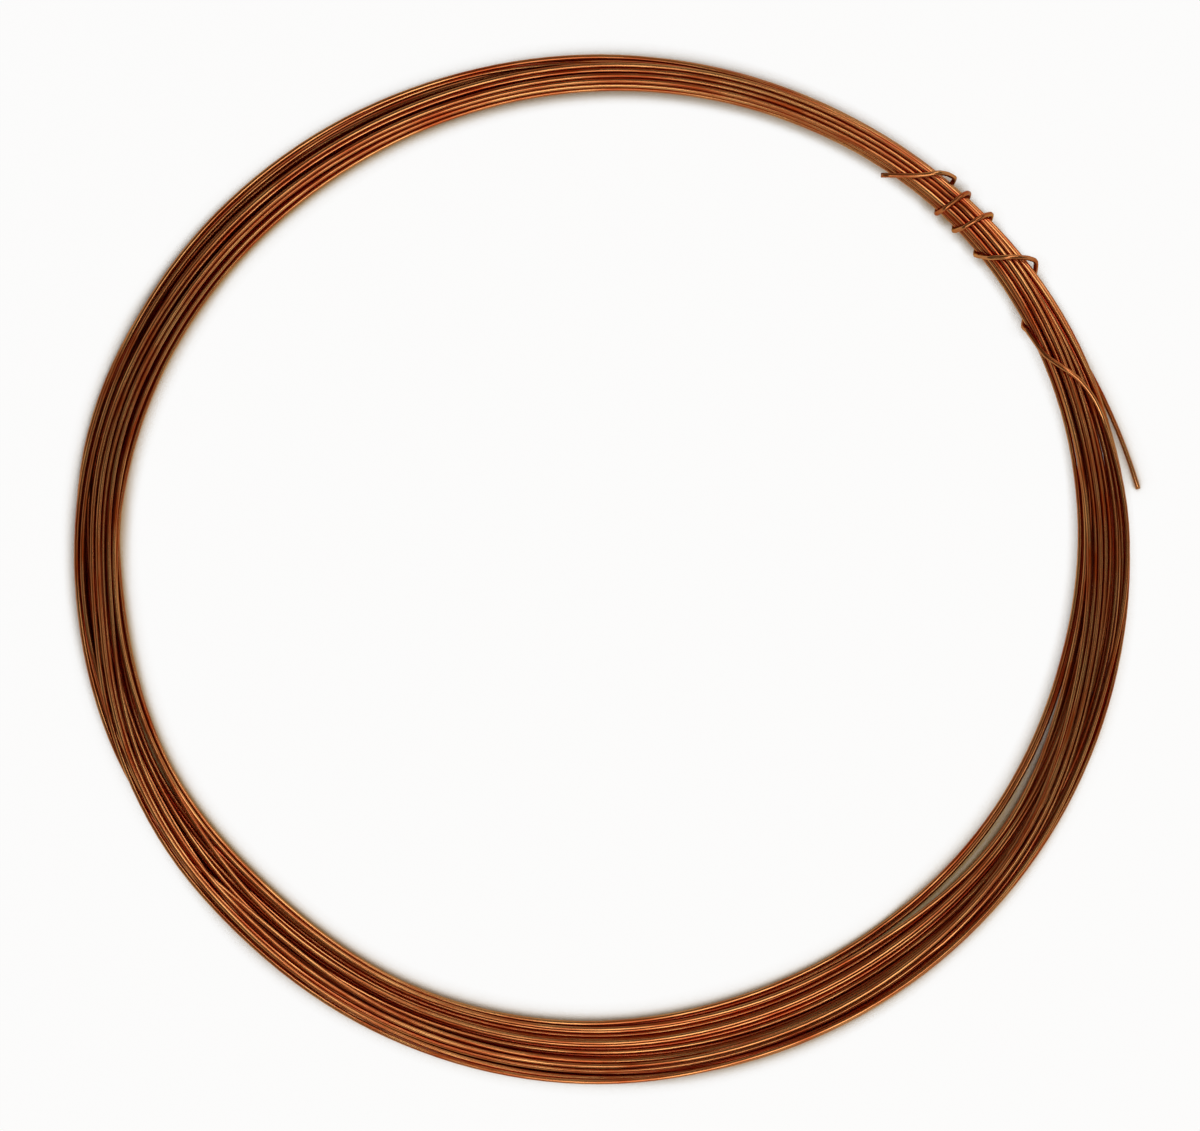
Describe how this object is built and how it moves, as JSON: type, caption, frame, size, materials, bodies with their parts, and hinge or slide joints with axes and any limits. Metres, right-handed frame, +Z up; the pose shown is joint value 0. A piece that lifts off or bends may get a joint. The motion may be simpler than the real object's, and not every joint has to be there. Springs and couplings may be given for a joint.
{
  "type": "copper wire coil",
  "caption": "Ring of bare copper wire wound in loose turns, bound at one place by its own wrapped end.",
  "frame": {"origin": "on the axis of the ring, at the level of the floor it lies on", "axes": "+Z up, along the axis of the ring; the tie sits at 46 degrees from +X towards +Y, and the free end points to -Y on the +X side"},
  "size_m": [0.2219, 0.2136, 0.0082],
  "materials": {
    "bare_copper": "bare drawn copper, smooth, slightly dulled"
  },
  "bodies": {
    "root": {"wire_coil": "bare_copper"}
  },
  "joints": []
}
